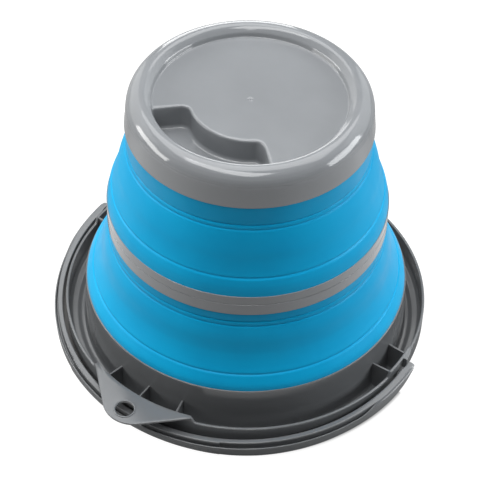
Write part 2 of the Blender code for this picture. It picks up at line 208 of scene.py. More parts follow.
def finish(name, dark, light, roughness, grain, specular, swell):
    """A moulded finish: two close colours clouded together, patchy roughness, and a fine skin as bump
    over a slow swell. The grain is the skin's scale per metre and its height; the swell is a height
    too, and both heights are in millimetres."""
    material = bpy.data.materials.new(name)
    material.use_nodes = True
    tree = material.node_tree
    shader = tree.nodes["Principled BSDF"]
    shader.inputs["Specular IOR Level"].default_value = specular
    coordinates = tree.nodes.new("ShaderNodeTexCoord")
    clouds = noise(tree, coordinates, CLOUD_SCALE, 4)
    colours = tree.nodes.new("ShaderNodeValToRGB")
    colours.color_ramp.elements[0].position = 0.3
    colours.color_ramp.elements[0].color = (*dark, 1)
    colours.color_ramp.elements[1].position = 0.7
    colours.color_ramp.elements[1].color = (*light, 1)
    link(tree, (clouds, "Fac"), (colours, "Fac"))
    link(tree, (colours, "Color"), (shader, "Base Color"))
    wear = noise(tree, coordinates, WEAR_SCALE, 3)
    link(tree, (mapped(tree, (wear, "Fac"), *roughness), "Result"), (shader, "Roughness"))
    waves = noise(tree, coordinates, SWELL_SCALE, 1)
    skin = noise(tree, coordinates, grain[0], 2)
    slow = tree.nodes.new("ShaderNodeBump")
    fine = tree.nodes.new("ShaderNodeBump")
    for bump, height, distance in ((slow, waves, swell), (fine, skin, grain[1])):
        bump.inputs["Strength"].default_value = 1.0
        bump.inputs["Distance"].default_value = distance * MM
        link(tree, (height, "Fac"), (bump, "Height"))
    link(tree, (slow, "Normal"), (fine, "Normal"))
    link(tree, (fine, "Normal"), (shader, "Normal"))
    return material

pale_plastic = finish("moulded_pale_plastic", dark=(0.204, 0.214, 0.225), light=(0.222, 0.233, 0.245),
                      roughness=(0.07, 0.12), grain=(450, 0.004), specular=0.5, swell=0.04)
# Painted shade: the same grey as above, made darker to stand in for the shade on the rim's trough and skirt.
shade_painted_plastic = finish("moulded_plastic_with_painted_shade", dark=(0.126, 0.132, 0.138), light=(0.139, 0.145, 0.152),
                      roughness=(0.12, 0.18), grain=(450, 0.005), specular=0.5, swell=0.04)
print("plastic finishes:", pale_plastic.name, shade_painted_plastic.name)

# %% [markdown]
# ## The soft blue rubber
#
# The folding rings are thermoplastic rubber. It has the same kind of clouds as the plastic, but its
# skin is duller and finer, it mirrors less, and its soft wall swells more. The same recipe is used with
# a higher roughness, a lower specular level, a finer grain and a deeper swell.

# %% Rubber finish
blue_rubber = finish("soft_blue_rubber", dark=(0.003, 0.335, 0.63), light=(0.004, 0.37, 0.675),
                     roughness=(0.38, 0.48), grain=(1300, 0.01), specular=0.125, swell=0.5)
print("rubber finish:", blue_rubber.name)

# %% [markdown]
# ## The two soft rings
#
# Each soft ring is a short straight collar, a double groove where it folds, a wall that curves out
# to a second fold line, and a rounded foot that turns down again. The heights come from the photo,
# counted from the skirt's edge. The wall is 2 mm thick, so the inner side is the same outline moved
# in by 2 mm. Both ends run a little way into the rigid rings, which hides the joint.

# %% Lower and upper soft rings
SKIRT_EDGE = 24.4
SOFT_WALL = 2.0

def soft_ring(name, outline, folds):
    """The outer outline softened and grooved at its folds, then back along itself one wall further in,
    turned once round."""
    outer = marked(softened(outline, spacing=0.6, reach=1.3), folds)
    loop = np.vstack([outer, (outer - SOFT_WALL * outward(outer))[::-1]]) + (0, SKIRT_EDGE)
    grids = []
    add_grid(grids, revolved(loop, full_turn), wrap_rows=True, wrap_columns=True)
    return make_piece(name, grids, blue_rubber)

lower_outline = [(115.0, 94.8), (114.9, 85), (115.4, 79.7), (116.9, 76), (118.4, 72), (119.7, 67),
                 (120.7, 61), (122.0, 55), (124.2, 49), (127.0, 43), (129.8, 38), (131.6, 35), (134.1, 31),
                 (135.4, 28), (135.9, 24.4)]
upper_outline = [(98.0, 194.3), (97.6, 175), (98.4, 170.5), (100.2, 166), (101.6, 162), (103.1, 157),
                 (104.8, 151), (106.1, 145), (107.7, 139), (109.5, 133), (111.6, 128), (113.3, 123),
                 (114.3, 118), (114.8, 113.2)]
lower_folds = [(84.4, 0.6, 0.8), (79.7, 0.6, 0.7), (38.0, 0.8, 0.75)]
upper_folds = [(174.4, 0.6, 0.8), (170.2, 0.6, 0.7), (130.0, 0.9, 0.7)]
lower_ring = soft_ring("lower_soft_ring", lower_outline, lower_folds)
upper_ring = soft_ring("upper_soft_ring", upper_outline, upper_folds)

# %% [markdown]
# ## The middle hoop
#
# The hoop is a plain straight band with a fine parting line just above its middle, where the two
# halves of the mould met. The lower half stands proud by a hair, so its top edge catches the light.

# %% Middle hoop
def closed_outline(points, spacing, reach):
    """A closed outline walked and softened all the way round, its start in the middle of a side."""
    points = np.array(points, float)
    start = (points[0] + points[-1]) / 2
    return softened([start, *points, start], spacing, reach)[:-1]

hoop_outline = [(115.45, 113.8), (115.45, 105.4), (115.2, 105.25), (115.2, 104.95), (115.62, 104.8),
                (115.62, 94.0), (113.1, 94.0), (113.1, 113.8)]
hoop = closed_outline(hoop_outline, spacing=0.15, reach=0.12) + (0, SKIRT_EDGE)
hoop_grids = []
add_grid(hoop_grids, revolved(hoop, full_turn), wrap_rows=True, wrap_columns=True)
middle_hoop = make_piece("middle_hoop", hoop_grids, pale_plastic)

# %% [markdown]
# ## The base
#
# The base is a recessed round panel inside a wide rounded foot ring, with a short band below it and
# a curved pocket for the fingers sunk in the panel. The turned skin has a window where the pocket
# goes. A second grid fills the window: its loops run from the window's edge to the pocket's outline,
# over a rolled lip, down the wall, round a fillet and across the floor to the pocket's middle line.
#
# The pocket is a rounded rectangle once it is unrolled, with the distance along the ring as one
# coordinate and the radius as the other. Rays from its middle line to the window's edge cross every
# such outline once, and halving the interval forty times finds where.

# %% Pocket outline
pocket_middle = np.radians(-90.0)
pocket_radii = np.array([48.0, 77.4])
pocket_half_angle = np.radians(46.0)
inner_corner, outer_corner = 8.0, 2.5
mean_radius = pocket_radii.mean()
half_length = pocket_half_angle * mean_radius
half_width = np.ptp(pocket_radii) / 2

def outline_distance(along, radius, grown):
    """How far a point of the unrolled pocket lies outside its outline: the distance to a rectangle
    drawn in by the corner's radius, less that radius."""
    half = np.array([half_length, half_width]) + grown
    across = radius - mean_radius
    corner = np.where(across < 0, inner_corner, outer_corner) + grown
    beyond = np.stack([np.abs(along) - half[0] + corner, np.abs(across) - half[1] + corner])
    return np.minimum(beyond.max(axis=0), 0) + np.hypot(*np.maximum(beyond, 0)) - corner

def ray_crossing(centre, edge, grown, inset):
    """Where each ray from the middle line to the window's edge is inset from the outline."""
    near, far = np.zeros(len(centre)), np.ones(len(centre))
    for _ in range(40):
        share = (near + far) / 2
        place = centre + share[:, None] * (edge - centre)
        inside = outline_distance(place[:, 0], place[:, 1], grown) + inset < 0
        near, far = np.where(inside, share, near), np.where(inside, far, share)
    return centre + near[:, None] * (edge - centre)

def on_ring(place, height):
    """Places of the unrolled pocket, as (distance along, radius), laid back on the ring at a height."""
    return turned(place[:, 1], height, pocket_middle + place[:, 0] / mean_radius)

print("pocket is", round(2 * half_length), "mm long and", round(2 * half_width, 1), "mm wide")

# %% [markdown]
# The skin is made twice, once for the outside and once 2 mm further in for the inside, and a strip at
# the bottom of the band joins the two. The small gate mark in the middle of the panel is part of the
# turned outline. The flat panel needs few rings of points, so only every fifth one is kept there.

# %% Outline of the base
PANEL = 214.7
BASE_WALL = 2.0
FLAT_POINTS = 126
base_outline = [(0, PANEL), (76.2, PANEL), (77.1, 218.2), (79.9, 221.0), (81.6, 222.3), (84, 222.75),
                (86, 222.54), (88, 221.93), (90, 220.95), (92, 219.5), (94, 217.28), (95.5, 214.88),
                (96.3, 212.8), (96.5, 212.0), (96.9, 209), (97.6, 201), (98.45, 193.5)]
shoulder_groove = [(212.2, 0.5, 0.3)]
gate_mark = np.array([(0, 0.35), (0.7, 0.3), (1.0, -0.25), (1.6, -0.3), (2.1, 0.0)]) + (0, PANEL)
near_pocket = np.arange(-142, -37.9, 0.8)
base_azimuths = np.radians(np.concatenate([near_pocket, np.arange(-36.6, 216.7, 1.4)]))

def base_skin(depth):
    """The base's outline from the gate mark to the band's edge, moved in by depth. The inside is flat
    under the gate mark."""
    plain = marked(softened(base_outline, spacing=0.5, reach=0.6), shoulder_groove)
    plain = plain[plain[:, 0] > gate_mark[-1, 0] + 0.5]
    kept = np.concatenate([np.arange(0, FLAT_POINTS, 5), np.arange(FLAT_POINTS, len(plain))])
    outline = np.vstack([gate_mark, plain[kept]]) + (0, SKIRT_EDGE)
    moved = outline - depth * outward(outline)
    moved[0, 0] = 0
    marks = slice(0, len(gate_mark))
    moved[marks, 1] = np.where(depth > 0, PANEL + SKIRT_EDGE - depth, outline[marks, 1])
    return moved

print("rings of points from the gate mark to the band:", len(base_skin(0.0)))

# %% [markdown]
# The pocket's grid is a stack of loops, each with as many points as the window's edge. The first is the
# window's edge itself. The next ones close in on the pocket, go over its lip, down its wall and round
# its fillet, and the last one is folded flat on the pocket's middle line. The lips are given as a
# radius and a count of points, the outer one larger and finer.

# %% Base with its pocket
POCKET_DEPTH, POCKET_FILLET, POCKET_DRAFT = 21.0, 3.0, 0.4
POCKET_WALL = (4, 16)
WINDOW_RADIUS, WINDOW_HEIGHT, CREST_RADIUS = 41.0, 222.2, 83.0
OUTER_LIP, INNER_LIP = (1.9, 7), (0.5, 3)

def add_cup_skin(grids, depth):
    """The turned skin with a window, and the pocket's grid in it; returns the band's edge."""
    outline = base_skin(depth)
    skin = revolved(outline, base_azimuths)
    climb = outline[outline[:, 0] <= CREST_RADIUS, 1]
    rows = (int(np.argmin(abs(outline[:, 0] - WINDOW_RADIUS))),
            int(np.argmin(abs(climb - SKIRT_EDGE - WINDOW_HEIGHT + depth))))
    columns = (0, len(near_pocket) - 1)
    add_grid(grids, skin, wrap_columns=True, windows=[(rows, columns)])
    along = np.broadcast_to(mean_radius * (base_azimuths - pocket_middle), skin.shape[:2])
    radius = np.broadcast_to(outline[:, :1], skin.shape[:2])
    edge = window_edge(np.stack([along, radius], axis=-1), rows, columns)
    line_end = half_length - half_width
    centre = np.column_stack([np.clip(edge[:, 0], -line_end, line_end), np.full(len(edge), mean_radius)])
    lip, steps = OUTER_LIP if depth == 0 else INNER_LIP
    quarter = np.linspace(0, 1, steps) * np.pi / 2
    insets = np.concatenate([lip * (np.sin(quarter) - 1), np.linspace(0.08, POCKET_DRAFT, 5),
                             POCKET_DRAFT + POCKET_FILLET * (1 - np.cos(quarter))])
    drops = np.concatenate([lip * (1 - np.cos(quarter)), np.linspace(*POCKET_WALL, 5),
                            POCKET_DEPTH - POCKET_FILLET + POCKET_FILLET * np.sin(quarter)])
    loops = [ray_crossing(centre, edge, depth, inset) for inset in insets]
    pocket_floor = PANEL + SKIRT_EDGE - POCKET_DEPTH - depth
    sheet = [window_edge(skin, rows, columns)]
    for share in (0.3, 0.6, 0.85):
        place = edge + share * (loops[0] - edge)
        sheet.append(on_ring(place, np.interp(place[:, 1], *outline.T)))
    for place, drop in zip(loops, drops):
        height = np.interp(place[:, 1], *outline.T)
        sheet.append(on_ring(place, height + drop / POCKET_DEPTH * (pocket_floor - height)))
    for share in (0.35, 0.7, 1.0):
        sheet.append(on_ring(loops[-1] + share * (centre - loops[-1]), pocket_floor))
    add_grid(grids, np.stack(sheet), wrap_columns=True)
    return skin[-1]

cup_grids = []
band_edges = [add_cup_skin(cup_grids, depth) for depth in (0.0, BASE_WALL)]
add_grid(cup_grids, np.stack(band_edges), wrap_columns=True)
base = make_piece("base_with_pocket", cup_grids, pale_plastic)

# %% [markdown]
# ## The rim
#
# The rim is one moulding: a short cone that the blue ring sits on, a trough with a step in its floor,
# and an outer skirt. The skirt is 5 mm higher beside the tab and beside the two pivots. So its outline
# is turned like the others, but the height of the skirt's edge is a function of the azimuth: a smooth
# step up and down again at each raised wall. Each pivot hole needs two windows, one in each face of the
# skirt.

# %% Raised walls
RAISE = 5.0
PIVOT_WALL_START, PIVOT_WALL_END, TAB_WALL_END = (-5.9, -4.3), (7.3, 8.3), (18.2, 19.8)

def smooth_step(value, start, end):
    """0 before start, 1 after end, and between them three times the square of the share of the way less
    twice its cube."""
    share = np.clip((value - start) / (end - start), 0, 1)
    return share * share * (3 - 2 * share)

def raised(azimuth):
    """How far the skirt is raised at an azimuth in degrees, from 0 to 1. The left half is mirrored onto
    the right one first, so that both pivots share their steps."""
    turn = np.where(np.cos(np.radians(azimuth)) < 0, 180 - azimuth, azimuth)
    turn = (turn + 180) % 360 - 180
    pivot = smooth_step(turn, *PIVOT_WALL_START) * (1 - smooth_step(turn, *PIVOT_WALL_END))
    beside_tab = 1 - smooth_step(np.abs(turn + 90), *TAB_WALL_END)
    return np.maximum(pivot, beside_tab)

# The azimuths lie closer together at the steps of the skirt's edge and across the pivot holes.
rim_azimuths = np.unique(np.round(np.concatenate([
    np.arange(-100, 260, 1.25),
    *[step + np.arange(-1.2, 1.21, 0.2) for step in (-5.1, 7.8, 172.2, 185.1)],
    *[step + np.arange(-0.8, 0.81, 0.2) for step in (-71, 251)],
    *[pivot + np.arange(-3, 3.01, 0.5) for pivot in (0, 180)]]), 4))
print("raised at the tab and the right pivot:", raised(np.array([-90.0, 0.0, 30.0])))

# %% [markdown]
# The outline runs down the cone, along the trough, up the skirt, over its edge and back underneath.
# Only the points of the skirt above a fixed height stretch upwards where it is raised. Long straight
# walls need few points and tight rounds need many, so the outline is thinned out by both its length and
# its turning.

# %% Rim body
TROUGH_OUTSIDE = 150
STRETCH = (20.0, 22.8)
trough = [(134.0, 49.4), (136.8, 49.4), (139.0, 4.6), (140.0, 2.5), (143.0, 2.5), (145.9, 5.4),
          (150.6, 5.4), (152.8, 8.6), (152.8, 24.0), (153.0, 24.6), (155.0, 24.6), (155.2, 24.0),
          (155.2, 7.0), (153.6, 3.9), (150.6, 2.9), (146.6, 2.9), (144.0, 0.0), (138.6, 0.0),
          (136.6, 2.0), (134.4, 47.5)]

def thinned_out(loop, length, turn):
    """The loop's points that are about one length, or one turn of the outline, after the last one kept:
    the share of a length and of a turn are added up along the loop, and each whole number keeps a point."""
    step = np.diff(loop, axis=0, append=loop[:1])
    heading = np.unwrap(np.arctan2(step[:, 1], step[:, 0]))
    amount = np.linalg.norm(step, axis=1) / length + np.abs(np.gradient(heading)) / np.radians(turn)
    return loop[np.unique(np.searchsorted(np.cumsum(amount), np.arange(0, amount.sum() - 1)))]

rim_loop = thinned_out(closed_outline(trough, spacing=0.35, reach=0.42), length=2.0, turn=10.0)
print("points round the rim's outline:", len(rim_loop), "azimuths:", len(rim_azimuths))
lift = RAISE * smooth_step(rim_loop[:, 1], *STRETCH) * (rim_loop[:, 0] > TROUGH_OUTSIDE)
rim_height = rim_loop[:, 1:] + lift[:, None] * raised(rim_azimuths)[None, :]
rim_points = turned(rim_loop[:, :1], rim_height, np.radians(rim_azimuths)[None, :])

# %% [markdown]
# At a pivot a strip of points runs from the window in the skirt's inner face to the hole's circle,
# through the wall, and out to the window in the outer face. The two windows have the same number of
# points round them, and the outer loop is turned until it starts beside the inner one.

# %% Pivot holes
PIVOT_HEIGHT = 15.4
PIN_HOLE = 4.3
HOLE_WINDOW = 3.0
SKIRT_FACES = (152.8, 155.2)

def pivot_window(side_azimuth, wall_radius):
    """Rows and columns of the grid cells round a pivot hole on one face of the skirt."""
    columns = np.flatnonzero(abs(rim_azimuths - side_azimuth) <= HOLE_WINDOW + 0.001)
    row = int(np.argmin(np.hypot(rim_loop[:, 0] - wall_radius, rim_loop[:, 1] - PIVOT_HEIGHT)))
    return (row - 3, row + 3), (int(columns[0]), int(columns[-1]))

def on_hole(loop):
    """The loop's points moved onto the hole's circle, each in its own direction. To stay on the wall, x
    becomes the root of the wall's radius squared less y squared."""
    away = loop[:, 1:] - (AXIS_Y, PIVOT_HEIGHT)
    away *= PIN_HOLE / np.linalg.norm(away, axis=1, keepdims=True)
    radius = np.hypot(loop[:, 0], loop[:, 1] - AXIS_Y)
    sideways = np.sign(loop[:, 0]) * np.sqrt(radius ** 2 - away[:, 0] ** 2)
    return np.column_stack([sideways, away + (AXIS_Y, PIVOT_HEIGHT)])

rim_grids = []
hole_windows = [[pivot_window(side, face) for face in SKIRT_FACES] for side in (0, 180)]
add_grid(rim_grids, rim_points, wrap_rows=True, wrap_columns=True, windows=sum(hole_windows, []))
for inner_window, outer_window in hole_windows:
    inner_loop = window_edge(rim_points, *inner_window)
    outer_loop = window_edge(rim_points, *outer_window)[::-1]
    nearest = np.argmin(np.linalg.norm(outer_loop - inner_loop[0], axis=1))
    outer_loop = np.roll(outer_loop, -nearest, axis=0)
    strip = [inner_loop, on_hole(inner_loop), on_hole(outer_loop), outer_loop]
    add_grid(rim_grids, np.stack(strip), wrap_columns=True)
print("windows for the holes:", hole_windows)

# %% [markdown]
# ## Ribs of the rim
#
# Thin upright ribs cross the trough beside the tab and the pivots. A rib is a bar: at every station it
# has a foot and a top, and a small closed outline is carried from station to station. The ribs at the
# tab point to the bucket's axis. Those at the pivots run almost parallel to the pins, so their azimuth
# changes from station to station. The bars start and end inside the walls that they join.

# %% Ribs across the trough
RIB_HALF_WIDTH = 0.8
TAB_RIB_TOP, PIVOT_RIB_TOP = SKIRT_EDGE + 2.4, SKIRT_EDGE + 4.6

def capped(rows):
    """A grid of closed loops with a point at each end, so that the bar is shut."""
    ends = [np.broadcast_to(loop.mean(axis=0), loop.shape) for loop in (rows[0], rows[-1])]
    return np.concatenate([ends[0][None], rows, ends[1][None]])

def bar(azimuth, foot, top, half_width):
    """A loop for each station, whose foot and top are (radius, height) pairs; the azimuth is one value
    or one for each station. A loop goes up one side, over the top with small rounds, and down the
    other: each point lies its own share of the way from foot to top, and is moved across the bar by a
    width that narrows near the top."""
    across = half_width * np.array([-1, -1, -1, -0.85, -0.5, 0.5, 0.85, 1, 1, 1])
    below_top = half_width * np.array([9, 0.9, 0.35, 0.1, 0, 0, 0.1, 0.35, 0.9, 9])
    tall = np.linalg.norm(top - foot, axis=1)[:, None]
    share = np.clip(1 - below_top / tall, 0, 1)
    share[:, [0, -1]] = 0
    place = foot[:, None] + share[..., None] * (top - foot)[:, None]
    azimuth = np.broadcast_to(azimuth, len(foot))[:, None]
    direction = np.stack([np.cos(azimuth), np.sin(azimuth)], axis=-1)
    sideways = np.stack([-np.sin(azimuth), np.cos(azimuth)], axis=-1)
    flat = place[..., :1] * direction + across[None, :, None] * sideways
    return capped(np.concatenate([flat + (0, AXIS_Y), place[..., 1:]], axis=-1))

rib_stations = np.linspace(137.3, 153.6, 40)
trough_floor = np.array([(136.0, 49.4), (138.1, 4.4), (140.6, 1.5), (143.3, 1.5), (146.2, 4.3),
                         (150.0, 4.3), (153.7, 8.0)])
rib_feet = np.column_stack([rib_stations, np.interp(rib_stations, *trough_floor.T)])

def add_rib(azimuth, top_height):
    """One rib from the cone to the skirt, its top at one height."""
    tops = np.column_stack([rib_stations, np.full_like(rib_stations, top_height)])
    add_grid(rim_grids, bar(azimuth, rib_feet, tops, RIB_HALF_WIDTH), wrap_columns=True)

for rib_azimuth in np.radians([-103, -90, -77]):
    add_rib(rib_azimuth, TAB_RIB_TOP)
for near_cone, near_skirt in ((13.4, 12.8), (-12.0, -11.4)):
    rib_azimuth = np.arcsin(np.interp(rib_stations, [138, 153], [near_cone, near_skirt]) / rib_stations)
    add_rib(rib_azimuth, PIVOT_RIB_TOP)
    add_rib(np.pi - rib_azimuth, PIVOT_RIB_TOP)
print("rim grids with the ribs:", len(rim_grids))

# %% [markdown]
# ## Stop lugs
#
# The stop lugs are short lengths of a rounded rectangle, bent round the skirt. They reach out less and
# less towards their far end, which gives them a rounded nose.

# %% Stop lugs
LUG_ROOT, LUG_REACH = 154.0, 158.8
lug_corners = [(LUG_ROOT, 18.5), (LUG_ROOT, 29.4), (LUG_REACH, 29.4), (LUG_REACH, 18.5)]
lug_outline = closed_outline(lug_corners, spacing=0.4, reach=0.4)
lug_turn = np.linspace(2.6, 8.0, 13)
nose = np.interp(lug_turn, [1.4, 3.3, 5.4, 6.6, 7.4, 8.0], [158.6, 158.4, 157.8, 157.0, 156.0, 154.6])
lug_radius = LUG_ROOT + (lug_outline[:, :1] - LUG_ROOT) * (nose - LUG_ROOT) / (LUG_REACH - LUG_ROOT)
for lug_azimuth in (np.radians(lug_turn), np.pi - np.radians(lug_turn)):
    lug = turned(lug_radius, lug_outline[:, 1:], lug_azimuth[None, :]).transpose(1, 0, 2)
    add_grid(rim_grids, capped(lug), wrap_columns=True)
print("rim grids with the ribs and lugs:", len(rim_grids))

# %% [markdown]
# ## The hanging tab
#
# Seen from above the tab is a round tip with two straight edges at about 45 degrees and a root along
# the skirt. It has one hole, so its surface is a ring in both directions: round the hole, and from the
# hole's wall over the raised bead, across the top, round the edge and back underneath. Every ray from
# the middle of the hole meets the tab's edge once, so the grid is simply spread along those rays.

# %% Outline of the tab
TIP_RADIUS, TIP_MIDDLE = 26, -157.5
ROOT_RADIUS, HOLE_DISTANCE = 152.65, 170.6
TAB_TOP, TAB_UNDERSIDE, TAB_ROUND = 30.4, 28.5, 0.6
HOLE_RADIUS, BEAD_RADIUS, BEAD_FOOT = 7.5, 8.3, 10.6
tip_angle = np.radians(np.linspace(-135, -45, 40))
tip = np.column_stack([TIP_RADIUS * np.cos(tip_angle), TIP_MIDDLE + TIP_RADIUS * np.sin(tip_angle)])
root_angle = np.radians(np.linspace(-71.6, -108.4, 30))
along_root = np.column_stack([np.cos(root_angle), np.sin(root_angle)])
root, corners = ROOT_RADIUS * along_root, SKIRT_FACES[1] * along_root[[0, -1]]
tab_edge = softened(np.vstack([tip, corners[:1], root, corners[1:], tip[:1]]), spacing=0.7, reach=0.35)[:-1]
hole_middle = np.array([0, -HOLE_DISTANCE])
from_hole = tab_edge - hole_middle
edge_distance = np.linalg.norm(from_hole, axis=1)
outwards = from_hole / edge_distance[:, None]
print("rays from the hole to the tab's edge:", len(outwards), "longest:", edge_distance.max().round(1), "mm")

# %% [markdown]
# Each row of the tab's surface is a distance from the hole's middle, which may differ from ray to ray,
# and a height. The rows start at the hole's wall and end underneath, beside the hole.

# %% Surface of the tab
bead_turn = np.radians(np.linspace(180, 0, 9))
edge_turn = np.radians(np.linspace(90, -90, 9))
flat_end = edge_distance - TAB_ROUND
half_flank = (TAB_TOP - TAB_UNDERSIDE) / 2 - TAB_ROUND
rows = [(HOLE_RADIUS, height) for height in (28.8, 29.2, 29.7)]
rows += [(BEAD_RADIUS + 0.75 * np.cos(angle), TAB_TOP + 0.6 * np.sin(angle)) for angle in bead_turn]
rows += [(BEAD_FOOT + share * (flat_end - BEAD_FOOT), TAB_TOP) for share in (0, 0.25, 0.5, 0.75)]
rows += [(flat_end + TAB_ROUND * np.cos(angle),
          (TAB_TOP + TAB_UNDERSIDE) / 2 + half_flank * np.sign(np.sin(angle)) + TAB_ROUND * np.sin(angle))
         for angle in edge_turn]
rows += [(BEAD_FOOT + share * (flat_end - BEAD_FOOT), TAB_UNDERSIDE) for share in (0.66, 0.33)]
rows += [(HOLE_RADIUS + 0.4, TAB_UNDERSIDE)]
tab_points = np.stack([np.column_stack([hole_middle + np.reshape(distance, (-1, 1)) * outwards + (0, AXIS_Y),
                                        np.full(len(outwards), height)]) for distance, height in rows])
add_grid(rim_grids, tab_points, wrap_rows=True, wrap_columns=True)
rim = make_piece("rim_with_tab", rim_grids, shade_painted_plastic)

# %% [markdown]
# ## The carrying handle
#
# The handle is half a ring of channel section: a tall inner flange, a groove, and a low outer flange.
# In its middle is a slightly wider grip with fine ridges low on its outer side, and towards the pivots
# the groove fills up into a solid arm. So the section is a closed outline whose corners depend on the
# azimuth through two smooth steps, one for the grip and one for the arm, and it is carried round the
# half circle. Two short tables, read against the angle from the middle, give the height of the
# underside, which rises towards the pivots, and a slight upward bow of the middle.
#
# All heights are counted from the pivot's axis. The whole handle is tilted about that axis afterwards,
# until the grip almost rests on the floor.

# %% Handle section
SAG = np.radians(3.919)
GRIP_ENDS = (-117.5, -62.5)
GRIP_STEP, ARM_STEP, THIN_ARM_STEP, END_STEP = (27.3, 27.7), (70.0, 77.0), (90.0, 91.2), (92.6, 94.6)
INNER_SIDE, GROOVE_SIDE, OUTER_SIDE = 158.2, 164.3, 165.6
FLANGE_TOP, LIP_TOP, GROOVE_FLOOR = 9.0, 5.3, 1.0
UNDERSIDE = [(0, -1.7), (10, -1.8), (19, -2.4), (30, -3.8), (39, -4.3), (51, -3.9), (63, -3.2), (76.6, -3.0),
             (79, -2.7), (81.3, -2.4), (83, -1.9), (84.6, -1.2), (86.1, -0.4), (87.6, 0.7), (89, 1.9),
             (90.2, 3.5), (91.3, 4.9), (92.2, 6.0), (92.9, 6.6), (93.8, 6.9)]
BOW = [(0, 1.4), (10, 1.4), (19, 1.3), (30, 0.9), (39, 0.6), (51, 0.2), (57, 0), (95, 0)]

handle_angle = np.radians(np.unique(np.round(np.concatenate([
    np.linspace(-183.8, 3.8, 160), *[end + np.arange(-0.6, 0.61, 0.15) for end in GRIP_ENDS]]), 3)))

def handle_section(angle):
    """The section's corners as (radius, height), one set for each azimuth: the channel's corners plus
    the grip's share of its own offsets and the arm's share of a raised groove floor. Beyond the pivots
    the inner side steps out and the outer side is drawn in, which thins and rounds the end."""
    from_middle = np.abs(np.degrees(angle) + 90)
    grip = 1 - smooth_step(from_middle, *GRIP_STEP)
    arm = smooth_step(from_middle, *ARM_STEP)
    drawn_in = 1.5 * smooth_step(from_middle, *END_STEP)
    under = np.interp(from_middle, *np.transpose(UNDERSIDE))
    inner = INNER_SIDE + 0.9 * smooth_step(from_middle, *THIN_ARM_STEP)
    flange = np.interp(from_middle, [45, 62, 77], [162.2, 162.8, 163.2]) + 0.8 * grip - drawn_in
    groove = GROOVE_SIDE - 0.9 * arm - drawn_in
    outer = OUTER_SIDE - drawn_in
    proud = outer + 0.3 * grip
    flange_top = np.full_like(angle, FLANGE_TOP)
    groove_floor = GROOVE_FLOOR + 8.0 * arm
    groove_lip = LIP_TOP + 3.6 * arm
    shoulder = LIP_TOP + 2.2 * arm
    corners = [(inner, under), (inner, flange_top), (flange, flange_top), (flange, groove_floor),
               (groove, groove_floor), (groove, groove_lip), (outer, shoulder),
               (outer, under + 0.75 * (shoulder - under)), (proud, under + 0.65 * (shoulder - under)),
               (proud, under), (inner + 1.8, under), (inner + 0.8, under)]
    section = np.stack([np.stack(corner, axis=-1) for corner in corners])
    section[..., 1] += np.interp(from_middle, *np.transpose(BOW))
    return section

def rounded_sections(corners, counts, reach):
    """Each side of the section divided into its own count of steps, then all averaged round the loop
    with bell-curve weights, which rounds the corners alike at every azimuth."""
    following = np.roll(corners, -1, axis=0)
    sides = [corner + np.linspace(0, 1, count, endpoint=False)[:, None, None] * (after - corner)
             for corner, after, count in zip(corners, following, counts)]
    loop = np.concatenate(sides)
    offsets = np.arange(-6, 7)
    weights = np.exp(-0.5 * (offsets / reach) ** 2)
    weights /= weights.sum()
    return sum(weight * np.roll(loop, int(step), axis=0) for weight, step in zip(weights, offsets))

side_counts = (26, 10, 18, 6, 10, 4, 6, 4, 16, 16, 3, 6)
sections = rounded_sections(handle_section(handle_angle), side_counts, reach=1.3)
print("handle grid:", sections.shape[:2])

# %% [markdown]
# The ridges are a wave on the points of one side of the section, the ninth, and fade out just before
# the grip's ends. Then the whole section is carried round and tilted.

# %% Ridges and sweep of the handle
RIDGE_HEIGHT = 0.22
RIDGE_FROM, RIDGE_TO = 2, 14

def hung(points):
    """Turn points about the pivots' axis by the sag, and lift them to the pivots' height: the new y is y
    times the sag's cosine less z times its sine, and the new z is y times its sine plus z times its
    cosine."""
    x, y, z = np.moveaxis(points, -1, 0)
    y = y - AXIS_Y
    return np.stack([x, AXIS_Y + y * np.cos(SAG) - z * np.sin(SAG),
                     PIVOT_HEIGHT + y * np.sin(SAG) + z * np.cos(SAG)], axis=-1)

grip_share = 1 - smooth_step(np.abs(np.degrees(handle_angle) + 90), 26.4, 27.0)
first = sum(side_counts[:8])
ridge = np.zeros(len(sections))
wave = 0.5 - 0.5 * np.cos(np.arange(RIDGE_TO - RIDGE_FROM) * np.pi / 1.5)
ridge[first + RIDGE_FROM:first + RIDGE_TO] = RIDGE_HEIGHT * wave
sections[..., 0] -= ridge[:, None] * grip_share[None, :]
handle_grids = []
swept = turned(sections[..., 0], sections[..., 1], handle_angle[None, :])
add_grid(handle_grids, hung(capped(swept.transpose(1, 0, 2))), wrap_columns=True)
print("grids of the handle so far:", len(handle_grids))

# %% [markdown]
# The pivots are turned about the pins' own axis: a flat snap head inside the skirt, the pin through
# the hole, and a small collar that is hidden in the arm's end.

# %% Handle with its pins
pin_corners = [(150.1, 0.0), (150.1, 6.8), (150.6, 7.3), (152.2, 7.3), (152.2, 4.0), (158.9, 4.0),
               (158.9, 5.2), (161.8, 5.2), (161.8, 0.0)]
pin_outline = softened(pin_corners, spacing=0.25, reach=0.28)
pin_outline[[0, -1], 1] = 0
around_pin = np.radians(np.arange(0, 360, 5.0))
pin = np.stack([np.broadcast_to(pin_outline[:, :1], (len(pin_outline), len(around_pin))),
                AXIS_Y + pin_outline[:, 1:] * np.cos(around_pin),
                pin_outline[:, 1:] * np.sin(around_pin)], axis=-1)
for side in (1, -1):
    add_grid(handle_grids, hung(pin * (side, 1, 1)), wrap_columns=True)
handle = make_piece("carrying_handle", handle_grids, shade_painted_plastic)
